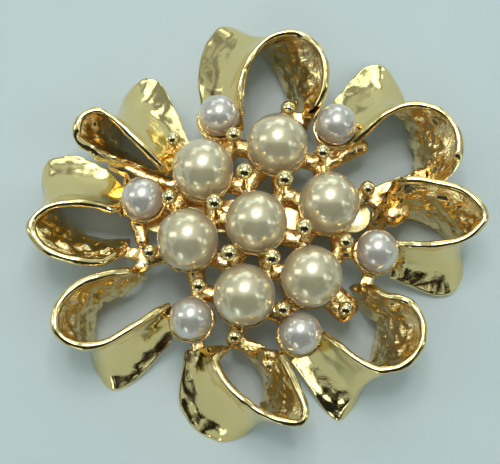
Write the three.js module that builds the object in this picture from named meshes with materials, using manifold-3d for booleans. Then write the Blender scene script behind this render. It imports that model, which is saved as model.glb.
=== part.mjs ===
// Ribbon-loop brooch: a wreath of cast ribbon loops round a domed cluster of imitation pearls,
// with a bar pin behind it. Millimetres, +Z out of the brooch's face, +Y up as it is worn.
// It lies on its back: the loops' ground edges stand on z = 0.
import * as THREE from "three";
import { mergeVertices } from "three/addons/utils/BufferGeometryUtils.js";
import Module from "manifold-3d";

const wasm = await Module();
wasm.setup();

// Pearls and their seats
const largePearl = 7;
const smallPearl = 5;
const pearlHole = 1.3;
const holeDepth = 2.2;
const pegDiameter = 0.9;
const pegLength = 1.9;
const glueGap = 0.2;
const cupFloor = 0.8;
const cupWall = 0.45;
const cupLipAngle = 33;
const cupFootShare = 0.72;
const cupSteps = 3;
const ringGap = 1.66;
const edgeGap = 0.7;
const ringLift = 0.7;
const crownLift = 1.5;

// Ball-tipped posts between the pearls
const crownBeadDiameter = 2.0;
const pocketBeadDiameter = 1.9;
const rimBeadDiameter = 1.85;
const postDiameter = 0.8;
const crownBeadRise = 2.0;
const pocketBeadRise = 0.4;
const rimBeadRise = 0.6;

// Openwork under the pearls
const webThickness = 0.9;
const linkWidth = 1.3;
const padWidth = 2.0;

// Ribbon loops
const ribbonWall = 0.75;
const rimHeight = 9;
const rimDrop = 2;
const footRise = 3;
const riseStart = 0.4;
const risePower = 1.5;
const dropPower = 4;
const ribbonPinch = 1.0;
const groundDepth = 0.25;
const solderGap = 0.3;
const ribbonSteps = 20;
const ribbonShares = [0, 0.22, 0.5, 0.78, 1];
const endPhases = [110, 75, 40, 0, -40, -75, -110];

// Bar pin: hinge at the left, safety catch at the right
const barReach = 1.3;
const barDepth = 4;
const barThickness = 0.7;
const underCatch = 0.2;
const barOffset = 2;
const barHoleDiameter = 1.8;
const barHoleSpacing = 8;
const fittingInset = 2.2;
const stemDiameter = 0.8;
const stemTaper = 5;
const shoulderShare = 0.6;
const stemOverhang = 1.5;
const eyeDiameter = 2.0;
const eyeWidth = 1.4;
const earWall = 0.5;
const saddleWall = 0.35;
const rivetDiameter = 0.8;
const rivetHead = 1.5;
const rivetHeadHeight = 0.35;
const rivetCrownShare = 0.7;
const pinPlay = 0.15;
const collarPlay = 0.25;
const collarWall = 0.35;
const catchPlay = 0.2;
const catchWall = 0.35;
const catchLength = 2.6;
const slotPlay = 0.2;
const tabWidth = 0.7;
const tabThickness = 0.5;
const tabReach = 0.55;
const tabAngle = -20;

// The shortest edges kept: where corners meet, on a cut ribbon and on the openwork
const mergeReach = 0.0001;
const ribbonEdge = 0.03;
const frameEdge = 0.06;

const degree = Math.PI / 180;
const ringRadius = largePearl + ringGap;
const edgeRadius = 1.5 * largePearl + smallPearl / 2 + edgeGap;
const frameRadius = ringRadius + largePearl / 2;

// The catch sets how high everything above it stands
const barLength = 2 * (frameRadius + barReach);
const collarBore = stemDiameter / 2 + collarPlay;
const collarRadius = collarBore + collarWall;
const catchBore = collarRadius + catchPlay;
const catchRadius = catchBore + catchWall;
const pinZ = underCatch + catchRadius;
const barUnderside = pinZ + catchRadius;
const webHeight = barUnderside + barThickness;
const hingeX = fittingInset - barLength / 2;
const catchX = barLength / 2 - fittingInset;
const rivetHole = rivetDiameter / 2 + pinPlay;

const edgeZ = webHeight + cupFloor + glueGap + smallPearl / 2;
const ringZ = webHeight + ringLift + cupFloor + glueGap + largePearl / 2;
const crownZ = webHeight + crownLift + cupFloor + glueGap + largePearl / 2;

const gold = { color: 0xd8a93c, roughness: 0.22, metalness: 1 };
const paleGold = { color: 0xd9bf72, roughness: 0.3, metalness: 1 };
const cream = { color: 0xf0e6d2, roughness: 0.25, metalness: 0 };
const silverWhite = { color: 0xe6e0e0, roughness: 0.22, metalness: 0 };
const pinGold = { color: 0xc99a3a, roughness: 0.3, metalness: 1 };

// ---- closed solids -------------------------------------------------------------------------

function solid(geometry) {
  const bare = geometry.index ? geometry.clone() : geometry;
  bare.deleteAttribute("normal");
  bare.deleteAttribute("uv");
  const merged = mergeVertices(bare, mergeReach);
  const corners = Array.from(merged.index.array);
  const triangles = [];
  for (let i = 0; i < corners.length; i += 3) {
    const [a, b, c] = corners.slice(i, i + 3);
    if (a !== b && b !== c && c !== a) {
      triangles.push(a, b, c);
    }
  }
  return new wasm.Manifold(new wasm.Mesh({
    numProp: 3,
    vertProperties: new Float32Array(merged.attributes.position.array),
    triVerts: new Uint32Array(triangles),
  }));
}

function unite(solids) {
  return solids.reduce((sum, next) => sum.add(next));
}

// The largest body of a cut shape, once edges too short to matter are closed up
function largestBody(shape, shortest) {
  const bodies = shape.simplify(shortest).decompose();
  return bodies.reduce((best, next) => (next.volume() > best.volume() ? next : best));
}

function surface(shape) {
  const cut = shape.getMesh();
  const geometry = new THREE.BufferGeometry();
  geometry.setAttribute("position", new THREE.BufferAttribute(cut.vertProperties, 3));
  return geometry.setIndex(new THREE.BufferAttribute(cut.triVerts, 1));
}

function piece(name, shape, finish) {
  const geometry = surface(shape);
  geometry.computeVertexNormals();
  const mesh = new THREE.Mesh(geometry, new THREE.MeshStandardMaterial(finish));
  mesh.name = name;
  return mesh;
}

function turned(profile, sides) {
  const outline = profile.map(([radius, height]) => new THREE.Vector2(radius, height));
  return new THREE.LatheGeometry(outline, sides).rotateX(Math.PI / 2);
}

function ball(diameter, sides, rows) {
  return new THREE.SphereGeometry(diameter / 2, sides, rows).rotateX(Math.PI / 2);
}

function rod(diameter, from, to, sides) {
  return new THREE.CylinderGeometry(diameter / 2, diameter / 2, to - from, sides)
    .rotateX(Math.PI / 2)
    .translate(0, 0, (from + to) / 2);
}

function slab(from, to, width, low, high) {
  const run = new THREE.Vector2().subVectors(to, from);
  return new THREE.BoxGeometry(run.length(), width, high - low)
    .rotateZ(run.angle())
    .translate((from.x + to.x) / 2, (from.y + to.y) / 2, (low + high) / 2);
}

function polar(bearing, radius) {
  return new THREE.Vector2(radius * Math.cos(bearing * degree), radius * Math.sin(bearing * degree));
}

// ---- where the pearls and beads stand --------------------------------------------------------

// Each entry: name, bearing round the centre pearl, and how far it strays from the even radius
const ringSeats = [
  ["north_west", 134, 0.1], ["north", 75.5, 1.0], ["east", 16, 0],
  ["south_east", 315.5, 0.05], ["south", 260.7, -0.35], ["west", 193.7, -0.7],
].map(([side, bearing, stray]) => ({
  name: `ring_pearl_${side}`, at: polar(bearing, ringRadius + stray), z: ringZ,
  size: largePearl, finish: cream,
}));

const edgeSeats = [
  ["north", 108, 0.2], ["north_east", 52.4, 1.6], ["east", 348.3, 0.4],
  ["south_east", 291.9, -0.45], ["south_west", 235.1, -0.8], ["west", 165.9, -0.2],
].map(([side, bearing, stray]) => ({
  name: `edge_pearl_${side}`, at: polar(bearing, edgeRadius + stray), z: edgeZ,
  size: smallPearl, finish: silverWhite,
}));

const centreSeat = {
  name: "centre_pearl", at: new THREE.Vector2(0, 0), z: crownZ, size: largePearl, finish: cream,
};
const seats = [centreSeat, ...ringSeats, ...edgeSeats];

const crownPocket = ringRadius / Math.sqrt(3);
const edgePocket = (2 * ringRadius * Math.cos(30 * degree) + edgeRadius) / 3;
const rimPost = frameRadius + rimBeadDiameter / 2;

function posts(prefix, size, z, radius, places) {
  return places.map(([side, bearing, stray]) => ({
    name: `${prefix}_${side}`, at: polar(bearing, radius + stray), z, size,
  }));
}

const beads = [
  ...posts("crown_bead", crownBeadDiameter, crownZ + crownBeadRise, crownPocket, [
    ["north", 104, 0.45], ["north_east", 54.6, 0.5], ["east", 348.5, 0.4],
    ["south", 291, -0.2], ["south_west", 233, 0], ["west", 159.3, 0],
  ]),
  ...posts("pocket_bead", pocketBeadDiameter, ringZ + pocketBeadRise, edgePocket, [
    ["north", 104, 1.0], ["north_east", 47.3, 1.6], ["east", 347.8, 0.7],
    ["south_east", 286.6, 0.7], ["south_west", 228.1, 0.1], ["west", 163.5, 0.7],
  ]),
  ...posts("rim_bead", rimBeadDiameter, edgeZ + rimBeadRise, rimPost, [
    ["north_west", 133.3, 0.9], ["north", 75, 1.3], ["east", 18.6, 0.4],
    ["south_east", 316.1, 0.85], ["south", 259.2, -0.1], ["west", 194.3, -0.6],
  ]),
];

// ---- pearls, beads and the openwork that carries them ----------------------------------------

function pearlSides(seat) {
  return seat.size > smallPearl ? 16 : 14;
}

// A half-drilled pearl: the hole opens downwards, over the seat's peg
function pearl(seat) {
  const radius = seat.size / 2;
  const mouth = Math.asin(pearlHole / seat.size);
  const rows = 8;
  const profile = [[0, holeDepth - radius], [pearlHole / 2, holeDepth - radius]];
  for (let row = 0; row <= rows; row += 1) {
    const angle = mouth + (Math.PI - mouth) * (row / rows);
    const reach = row === rows ? 0 : radius * Math.sin(angle);
    profile.push([reach, -radius * Math.cos(angle)]);
  }
  const shape = solid(turned(profile, pearlSides(seat)));
  return shape.translate([seat.at.x, seat.at.y, seat.z]);
}

// How high the lip of a cup stands, from the middle of its pearl
function cupLip(seat) {
  return -(seat.size / 2 + glueGap) * Math.sin(cupLipAngle * degree);
}

// The round cup under a pearl, its spherical hollow and the peg in the middle of it
function cup(seat) {
  const hollow = seat.size / 2 + glueGap;
  const lip = cupLip(seat);
  const lipRadius = hollow * Math.cos(cupLipAngle * degree);
  const foot = webHeight - seat.z;
  const profile = [[0, foot], [lipRadius * cupFootShare, foot], [lipRadius + cupWall, lip],
    [lipRadius, lip]];
  const start = Math.asin(lipRadius / hollow);
  for (let step = 1; step <= cupSteps; step += 1) {
    const angle = start * (1 - step / cupSteps);
    profile.push([hollow * Math.sin(angle), -hollow * Math.cos(angle)]);
  }
  profile[profile.length - 1][0] = 0;
  const bowl = solid(turned(profile, pearlSides(seat)));
  const peg = solid(rod(pegDiameter, foot + cupFloor / 2, pegLength - seat.size / 2, 6));
  return bowl.add(peg).translate([seat.at.x, seat.at.y, seat.z]);
}

// A ball on a post, standing on the openwork
function bead(place) {
  const radius = place.size / 2;
  const neck = Math.asin(postDiameter / place.size);
  const foot = webHeight + webThickness - place.z;
  const rows = 5;
  const profile = [[0, foot], [postDiameter / 2, foot]];
  for (let row = 0; row <= rows; row += 1) {
    const angle = neck + (Math.PI - neck) * (row / rows);
    const reach = row === rows ? 0 : radius * Math.sin(angle);
    profile.push([reach, -radius * Math.cos(angle)]);
  }
  return solid(turned(profile, 10)).translate([place.at.x, place.at.y, place.z]);
}

// The room a ball and its post take above a height
function roomOver(place, height) {
  const ballRoom = solid(ball(place.size + 2 * solderGap, 12, 8))
    .translate([place.at.x, place.at.y, place.z]);
  const postRoom = solid(rod(postDiameter + 2 * solderGap, height, place.z, 8))
    .translate([place.at.x, place.at.y, 0]);
  return ballRoom.add(postRoom);
}

function nearest(from, places) {
  return [...places].sort((a, b) => a.at.distanceTo(from) - b.at.distanceTo(from));
}

function openwork(feet) {
  const links = [];
  for (const place of beads) {
    const around = nearest(place.at, seats).slice(0, 3);
    const near = place.name.startsWith("rim_bead") ? around.slice(0, 1) : around;
    near.forEach((seat) => links.push([place.at, seat.at]));
  }
  for (const foot of feet) {
    links.push([foot, nearest(foot, [...seats, ...beads])[0].at]);
  }
  const top = webHeight + webThickness;
  const cups = unite(seats.map(cup)).subtract(unite(beads.map((place) => roomOver(place, top))));
  const bars = links.map(([from, to]) => solid(slab(from, to, linkWidth, webHeight, top)));
  const pads = beads.map((place) => solid(rod(padWidth, webHeight, top, 6))
    .translate([place.at.x, place.at.y, 0]));
  return unite([...bars, ...pads, cups]);
}

// ---- ribbon loops ----------------------------------------------------------------------------

// Each loop lies along its bearing. Its rim and base are hairpins: two feet and an elliptical
// end, given by its centre (out, side), its half axes (long, wide) and how far it is turned.
// Distances out are counted from the ring pearls' outer edge, side is to the left of the bearing.
const loopShapes = [
  { name: "north", bearing: 84,
    rim: { out: 5.0, side: -1.6, long: 6.5, wide: 5.1, turn: -18, feet: [-0.2, 2.8, 1.3, -5.4] },
    base: { out: 2.3, side: 2.1, long: 13.1, wide: 5.7, turn: 23, feet: [1.4, 8.2, 2.6, -3.4] } },
  { name: "north_east", bearing: 42,
    rim: { out: 7.9, side: -5.5, long: 5.4, wide: 5.1, turn: -21, feet: [2.4, -0.1, 9.5, -10.6] },
    base: { out: 6.1, side: -3.4, long: 4.0, wide: 12.7, turn: -36, feet: [6.2, 6.2, 7.6, -7.1] } },
  { name: "east", bearing: 354,
    rim: { out: 6.2, side: 3.5, long: 7.9, wide: 4.0, turn: 2, feet: [2.2, 4.1, 4.6, 0.1] },
    base: { out: 7.1, side: -0.2, long: 4.7, wide: 6.2, turn: 59, feet: [4.3, 4.2, 3.9, -3.6] } },
  { name: "south_east", bearing: 315,
    rim: { out: 6.7, side: 1.7, long: 4.7, wide: 4.6, turn: 22, feet: [2.6, 5.0, 1.8, -3.4] },
    base: { out: 6.9, side: -2.6, long: 1.9, wide: 7.0, turn: 23, feet: [0.1, 3.8, 1.2, -7.9] } },
  { name: "south", bearing: 266,
    rim: { out: 6.1, side: 2.6, long: 3.0, wide: 5.9, turn: -37, feet: [2.4, 4.2, 2.6, -3.4] },
    base: { out: 6.0, side: -2.6, long: 6.2, wide: 5.3, turn: 0, feet: [1.4, -0.3, 2.2, -7.5] } },
  { name: "south_west", bearing: 213,
    rim: { out: 7.9, side: -1.5, long: 5.8, wide: 4.0, turn: -5, feet: [0.8, 2.2, 2.4, -3.9] },
    base: { out: 8.6, side: 1.3, long: 2.8, wide: 5.9, turn: -27, feet: [3.0, 5.5, 1.3, -3.2] } },
  { name: "west", bearing: 178,
    rim: { out: 7.2, side: 1.8, long: 6.6, wide: 3.7, turn: -3, feet: [3.7, 4.4, 3.7, -1.1] },
    base: { out: 7.6, side: -3.8, long: 8.0, wide: 4.2, turn: -42, feet: [2.6, 1.6, 3.8, -6.5] } },
  { name: "north_west", bearing: 145,
    rim: { out: 9.7, side: 1.6, long: 2.4, wide: 2.5, turn: 3, feet: [8.0, 4.2, -0.1, 0.6] },
    base: { out: 7.4, side: -3.6, long: 3.2, wide: 6.5, turn: 26, feet: [0.6, 0.4, 0.7, -4.8] } },
];

// Which loop gives way where two of them meet
const givesWay = [
  ["north_east", "east"], ["south_east", "east"], ["south", "south_east"], ["west", "south_west"],
  ["north_west", "west"], ["north", "north_east"], ["south_west", "south"], ["north", "north_west"],
];

function onLoop(bearing, out, side) {
  const spot = new THREE.Vector2(frameRadius + out, side);
  return spot.rotateAround(new THREE.Vector2(0, 0), bearing * degree);
}

function hairpin(bearing, edge) {
  const [startOut, startSide, endOut, endSide] = edge.feet;
  const turn = edge.turn * degree;
  const plan = [onLoop(bearing, startOut, startSide)];
  for (const phase of endPhases) {
    const along = edge.long * Math.cos(phase * degree);
    const across = edge.wide * Math.sin(phase * degree);
    const out = edge.out + along * Math.cos(turn) - across * Math.sin(turn);
    const side = edge.side + along * Math.sin(turn) + across * Math.cos(turn);
    plan.push(onLoop(bearing, out, side));
  }
  plan.push(onLoop(bearing, endOut, endSide));
  return new THREE.CatmullRomCurve3(plan.map((spot) => new THREE.Vector3(spot.x, spot.y, 0)));
}

// How far along is from the middle of the loop, 0 at its end and 1 at a foot
function toFoot(along) {
  return Math.abs(2 * along - 1);
}

function rimZ(along) {
  return rimHeight - rimDrop * toFoot(along) ** dropPower;
}

function baseZ(along) {
  const risen = Math.max(0, toFoot(along) - riseStart) / (1 - riseStart);
  return footRise * risen ** risePower - groundDepth;
}

// The ribbon between the two hairpins. Its middle is drawn in, and margin grows it all round.
function band(shape, margin) {
  const rim = hairpin(shape.bearing, shape.rim);
  const base = hairpin(shape.bearing, shape.base);
  const inward = new THREE.Vector3();
  const corners = [];
  for (let step = 0; step <= ribbonSteps; step += 1) {
    const along = step / ribbonSteps;
    const top = rim.getPointAt(along).setZ(rimZ(along));
    const bottom = base.getPointAt(along).setZ(baseZ(along));
    const run = rim.getTangentAt(along).add(base.getTangentAt(along)).normalize();
    const fall = new THREE.Vector3().subVectors(bottom, top).normalize();
    inward.crossVectors(fall, run).normalize();
    const slide = (step === 0 ? -margin : 0) + (step === ribbonSteps ? margin : 0);
    const ring = ribbonShares.map((share) => {
      const drawn = ribbonPinch * 4 * share * (1 - share) * (1 - toFoot(along) ** dropPower);
      return top.clone().lerp(bottom, share)
        .addScaledVector(inward, drawn)
        .addScaledVector(run, slide);
    });
    ring[0].addScaledVector(fall, -margin);
    ring[ring.length - 1].addScaledVector(fall, margin);
    corners.push([
      ...ring.map((spot) => spot.clone().addScaledVector(inward, ribbonWall + margin)),
      ...ring.reverse().map((spot) => spot.clone().addScaledVector(inward, -margin)),
    ]);
  }
  return loft(corners);
}

// A closed skin through rings of corners, with a flat cap at each end
function loft(rings) {
  const count = rings[0].length;
  const triangles = [];
  const quad = (a, b, c, d) => triangles.push(a, c, b, a, d, c);
  for (let ring = 0; ring + 1 < rings.length; ring += 1) {
    for (let corner = 0; corner < count; corner += 1) {
      const next = (corner + 1) % count;
      quad(rings[ring][corner], rings[ring + 1][corner],
        rings[ring + 1][next], rings[ring][next]);
    }
  }
  const last = rings.length - 1;
  for (let corner = 0; corner + 1 < count / 2; corner += 1) {
    const far = count - 1 - corner;
    quad(rings[0][corner], rings[0][corner + 1], rings[0][far - 1], rings[0][far]);
    quad(rings[last][corner], rings[last][far], rings[last][far - 1], rings[last][corner + 1]);
  }
  return new THREE.BufferGeometry().setFromPoints(triangles);
}

// The room that a pearl in its cup, or a bead on its post, takes out of a ribbon
function clearanceRound(place) {
  const footWidth = seats.includes(place)
    ? place.size + 2 * glueGap + 2 * cupWall
    : padWidth;
  const footTop = seats.includes(place) ? place.z + cupLip(place) : webHeight + webThickness;
  const footRoom = solid(rod(footWidth + 2 * solderGap, webHeight - solderGap,
    footTop + solderGap, 12)).translate([place.at.x, place.at.y, 0]);
  return roomOver(place, webHeight).add(footRoom);
}

function ribbonLoops() {
  const shapes = new Map(loopShapes.map((shape) => [shape.name, shape]));
  const room = unite([...seats, ...beads].map(clearanceRound));
  const reach = 3 * frameRadius;
  const ground = solid(new THREE.BoxGeometry(reach * 2, reach * 2, 4).translate(0, 0, -2));
  return loopShapes.map((shape) => {
    let ribbon = solid(band(shape, 0)).subtract(ground).subtract(room);
    for (const [yielding, standing] of givesWay) {
      if (yielding === shape.name) {
        ribbon = ribbon.subtract(solid(band(shapes.get(standing), solderGap)));
      }
    }
    return { shape, ribbon: largestBody(ribbon, ribbonEdge) };
  });
}

function loopFeet() {
  return loopShapes.flatMap((shape) => {
    const [rimOut, rimSide, rimEndOut, rimEndSide] = shape.rim.feet;
    const [baseOut, baseSide, baseEndOut, baseEndSide] = shape.base.feet;
    return [
      onLoop(shape.bearing, (rimOut + baseOut) / 2, (rimSide + baseSide) / 2),
      onLoop(shape.bearing, (rimEndOut + baseEndOut) / 2, (rimEndSide + baseEndSide) / 2),
    ];
  });
}

// ---- bar pin ---------------------------------------------------------------------------------

// Turns a shape whose axis is Z so that it lies along X, or along Y, at the height of the stem
function alongX(geometry, x) {
  return solid(geometry.rotateY(Math.PI / 2).translate(x, barOffset, pinZ));
}

function alongY(geometry, x) {
  return solid(geometry.rotateX(Math.PI / 2).translate(x, barOffset, pinZ));
}

function plate(outline, thickness, segments) {
  const options = { depth: thickness, bevelEnabled: false, curveSegments: segments };
  return new THREE.ExtrudeGeometry(outline, options).translate(0, 0, -thickness / 2);
}

function pinBar() {
  const half = barLength / 2 - barDepth / 2;
  const outline = new THREE.Shape();
  outline.absarc(half, 0, barDepth / 2, -Math.PI / 2, Math.PI / 2, false);
  outline.absarc(-half, 0, barDepth / 2, Math.PI / 2, Math.PI * 1.5, false);
  for (const x of [-barHoleSpacing, 0, barHoleSpacing]) {
    const hole = new THREE.Path();
    hole.absarc(x, 0, barHoleDiameter / 2, 0, Math.PI * 2, true);
    outline.holes.push(hole);
  }
  const z = barUnderside + barThickness / 2;
  return solid(plate(outline, barThickness, 10).translate(0, barOffset, z));
}

function hingeBracket() {
  const top = barUnderside - pinZ;
  const half = eyeDiameter / 2;
  const ear = new THREE.Shape();
  ear.moveTo(half, top);
  ear.lineTo(-half, top);
  ear.absarc(0, 0, half, Math.PI, Math.PI * 2, false);
  const hole = new THREE.Path();
  hole.absarc(0, 0, rivetHole, 0, Math.PI * 2, true);
  ear.holes.push(hole);
  const away = (eyeWidth + earWall) / 2 + pinPlay;
  const ears = [-away, away].map((y) => alongY(plate(ear, earWall, 6), hingeX).translate([0, y, 0]));
  const saddle = new THREE.BoxGeometry(eyeDiameter, 2 * away, saddleWall)
    .translate(hingeX, barOffset, barUnderside - saddleWall / 2);
  return unite([...ears, solid(saddle)]);
}

function hingeRivet() {
  const shank = eyeWidth / 2 + earWall + 2 * pinPlay;
  const end = shank + rivetHeadHeight;
  const head = rivetHead / 2;
  const profile = [[0, -end], [head * rivetCrownShare, -end], [head, -shank], [rivetDiameter / 2, -shank],
    [rivetDiameter / 2, shank], [head, shank], [head * rivetCrownShare, end], [0, end]];
  return alongY(turned(profile, 12), hingeX);
}

function pinStem() {
  const outline = new THREE.Shape();
  outline.absarc(0, 0, eyeDiameter / 2, 0, Math.PI * 2, false);
  const hole = new THREE.Path();
  hole.absarc(0, 0, rivetHole, 0, Math.PI * 2, true);
  outline.holes.push(hole);
  const start = (rivetHole + eyeDiameter / 2) / 2;
  const end = catchX - hingeX + catchLength / 2 + stemOverhang;
  const radius = stemDiameter / 2;
  const profile = [[0, start], [radius, start], [radius, end - stemTaper],
    [radius * shoulderShare, end - stemTaper / 3], [0, end]];
  return alongY(plate(outline, eyeWidth, 8), hingeX).add(alongX(turned(profile, 10), hingeX));
}

function tube(bore, radius, length, sides) {
  const half = length / 2;
  return turned([[bore, -half], [radius, -half], [radius, half], [bore, half], [bore, -half]], sides);
}

function slotBelow(radius, length) {
  const width = stemDiameter + 2 * slotPlay;
  return solid(new THREE.BoxGeometry(length, width, 2 * radius)
    .translate(catchX, barOffset, pinZ - radius));
}

// A fixed, slotted barrel; the window across it is the way of the collar's thumb tab
function catchBarrel() {
  const height = catchWall;
  const saddle = new THREE.BoxGeometry(catchLength, 2 * collarRadius, height)
    .translate(catchX, barOffset, barUnderside - height / 2);
  const span = 4 * catchRadius;
  const window = new THREE.BoxGeometry(tabWidth + 2 * pinPlay, span, span)
    .translate(catchX, barOffset, pinZ + pinPlay - span / 2);
  return alongX(tube(catchBore, catchRadius, catchLength, 20), catchX)
    .add(solid(saddle))
    .subtract(slotBelow(catchRadius, 2 * catchLength))
    .subtract(solid(window));
}

// The slotted collar inside the barrel. Turned by its tab, it closes round the stem
function catchCollar() {
  const from = (collarBore + collarRadius) / 2;
  const to = catchRadius + tabReach;
  const tab = new THREE.BoxGeometry(tabWidth, to - from, tabThickness)
    .translate(0, (from + to) / 2, 0)
    .rotateX(tabAngle * degree)
    .translate(catchX, barOffset, pinZ);
  return alongX(tube(collarBore, collarRadius, catchLength, 20), catchX)
    .subtract(slotBelow(collarRadius, 2 * catchLength))
    .add(solid(tab));
}

// ---- the brooch --------------------------------------------------------------------------------

const brooch = new THREE.Group();
const loops = ribbonLoops();
const solderRoom = unite(loopShapes.map((shape) => solid(band(shape, solderGap))));
const fittedRoom = unite(loops.map(({ ribbon }) => ribbon));
const lattice = openwork(loopFeet()).subtract(solderRoom).subtract(fittedRoom);
const frame = largestBody(lattice, frameEdge);
brooch.add(piece("openwork_frame", frame, gold));
loops.forEach(({ shape, ribbon }) => {
  brooch.add(piece(`ribbon_loop_${shape.name}`, ribbon, paleGold));
});
seats.forEach((seat) => brooch.add(piece(seat.name, pearl(seat), seat.finish)));
beads.forEach((place) => brooch.add(piece(place.name, bead(place), gold)));
brooch.add(piece("pin_bar", pinBar(), pinGold));
brooch.add(piece("hinge_bracket", hingeBracket(), pinGold));
brooch.add(piece("hinge_rivet", hingeRivet(), pinGold));
brooch.add(piece("pin_stem", pinStem(), pinGold));
brooch.add(piece("catch_barrel", catchBarrel(), pinGold));
brooch.add(piece("catch_collar", catchCollar(), pinGold));

// The origin is under the middle of the wreath, on the surface it lies on
const middle = new THREE.Box3().setFromObject(brooch).getCenter(new THREE.Vector3());
brooch.position.set(-middle.x, -middle.y, 0);

export default brooch;
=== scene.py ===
import math

import bmesh
import bpy
import numpy as np
from mathutils import Matrix, Vector

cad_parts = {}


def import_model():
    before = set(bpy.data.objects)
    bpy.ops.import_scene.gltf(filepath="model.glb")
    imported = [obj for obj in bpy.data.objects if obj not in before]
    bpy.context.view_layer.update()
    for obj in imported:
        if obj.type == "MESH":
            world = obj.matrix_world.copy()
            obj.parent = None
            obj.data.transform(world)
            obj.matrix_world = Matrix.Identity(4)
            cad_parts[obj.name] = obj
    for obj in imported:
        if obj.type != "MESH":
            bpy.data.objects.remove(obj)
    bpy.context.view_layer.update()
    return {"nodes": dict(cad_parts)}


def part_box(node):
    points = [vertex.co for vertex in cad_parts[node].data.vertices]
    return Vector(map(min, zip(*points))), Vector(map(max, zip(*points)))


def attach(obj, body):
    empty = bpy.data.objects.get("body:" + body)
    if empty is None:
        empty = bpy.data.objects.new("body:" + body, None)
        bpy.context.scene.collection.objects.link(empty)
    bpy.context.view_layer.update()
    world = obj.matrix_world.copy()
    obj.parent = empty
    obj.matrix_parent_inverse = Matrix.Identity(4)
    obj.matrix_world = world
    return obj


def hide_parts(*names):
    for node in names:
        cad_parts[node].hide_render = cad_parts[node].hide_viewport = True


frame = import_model()
mm = 0.001


def colour(hexValue):  # sRGB hex to the linear colour that a shader socket takes
    channels = [int(hexValue[i:i + 2], 16) / 255 for i in (1, 3, 5)]
    linear = [c / 12.92 if c <= 0.04045 else ((c + 0.055) / 1.055) ** 2.4 for c in channels]
    return (*linear, 1.0)


def addNode(tree, kind, settings=None, inputs=None):  # an input is a value, or a socket to link
    node = tree.nodes.new(kind)
    for name, value in (settings or {}).items():
        setattr(node, name, value)
    for name, value in (inputs or {}).items():
        if isinstance(value, bpy.types.NodeSocket):
            tree.links.new(value, node.inputs[name])
        else:
            node.inputs[name].default_value = value
    return node


def arc(centre, radius, start, end, steps=24):
    turns = [math.radians(a) for a in np.linspace(start, end, steps)]
    return [(centre[0] + radius * math.cos(a), centre[1] + radius * math.sin(a)) for a in turns]


def circle(centre, radius, steps=48):
    return arc(centre, radius, 0, 360, steps + 1)[:-1]


def smoothObject(name, mesh):
    obj = bpy.data.objects.new(name, mesh)
    bpy.context.scene.collection.objects.link(obj)
    mesh.polygons.foreach_set("use_smooth", [True] * len(mesh.polygons))
    return obj


def meshFrom(name, points, faces):
    mesh = bpy.data.meshes.new(name)
    mesh.from_pydata([tuple(point) for point in points], [], [tuple(face) for face in faces])
    return mesh


def fromForm(form, name):
    mesh = bpy.data.meshes.new(name)
    form.to_mesh(mesh)
    form.free()
    return smoothObject(name, mesh)


def baked(obj, name):  # the evaluated shape as a plain mesh object, with no modifiers left
    graph = bpy.context.evaluated_depsgraph_get()
    mesh = bpy.data.meshes.new_from_object(obj.evaluated_get(graph))
    bpy.data.objects.remove(obj)
    mesh.name = name
    return smoothObject(name, mesh)


def setInputs(modifier, tree, values):  # by the socket's identifier
    sockets = {s.name: s.identifier for s in tree.interface.items_tree if s.in_out == "INPUT"}
    for name, value in values.items():
        modifier[sockets[name]] = value


def largestIsland(mesh):  # what a cut leaves standing free is dropped
    form = bmesh.new()
    form.from_mesh(mesh)
    left, islands = set(form.verts), []
    while left:
        island, edge = set(), {left.pop()}
        while edge:
            island |= edge
            edge = {e.other_vert(v) for v in edge for e in v.link_edges} - island
        left -= island
        islands.append(island)
    keep = max(islands, key=len)
    bmesh.ops.delete(form, geom=[v for v in form.verts if v not in keep], context="VERTS")
    form.to_mesh(mesh)
    form.free()


def place(obj, body, slot, *nodes):
    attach(obj, body)
    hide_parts(*nodes)


def nodesNamed(start):
    return sorted(name for name in frame["nodes"] if name.startswith(start))


def ballOf(node):  # centre and radius of a pearl or of a bead on its post
    low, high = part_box(node)
    radius = (high.x - low.x) / 2
    return Vector(((low.x + high.x) / 2, (low.y + high.y) / 2, high.z - radius)), radius


goldFinish = {  # plated pot metal: pale brass yellow, deepening where light bounces twice; the loops' hollow band and the openwork also have that deeper gold painted in, as painted shade and painted reflection
    "faceHex": "#f9e3a6",
    "faceWornHex": "#f3d88f",
    "castHex": "#fde8b0",
    # painted shade and painted reflection: a deeper gold for the inside of the loop just under the rim
    "hollowPaintedShadeHex": "#fbdf9f",
    # painted shade and painted reflection: a deep amber for the openwork recessed between the pearls
    "framePaintedShadeHex": "#eeb04a",
    "pinHex": "#e8c678",
    "faceRoughness": 0.1,
    "castRoughness": 0.15,
    "frameRoughness": 0.22,
    "beadRoughness": 0.08,
    "pinRoughness": 0.24,
    "scratchSize": 0.9 * mm,
    "scratchDepth": 0.012 * mm,
    "pitSize": 0.35 * mm,
    "pitDepth": 0.05 * mm,
    "cloudTurns": 0.4,  # how many clouds go into a scratch size
    "cloudLow": 0.3, "cloudHigh": 0.7,
    "plateGloss": (0.75, 1.3),  # shares of the roughness, from bright to dull
    "ribbonGloss": (0.7, 1.3),
    "paintedShadeFrom": 0.25, "paintedShadeTo": 0.6,  # shares of the ribbon's height, from the rim, over which the painted shade band fades into the cast colour
    "lipFrom": 0.03, "lipTo": 0.09,
}


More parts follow.
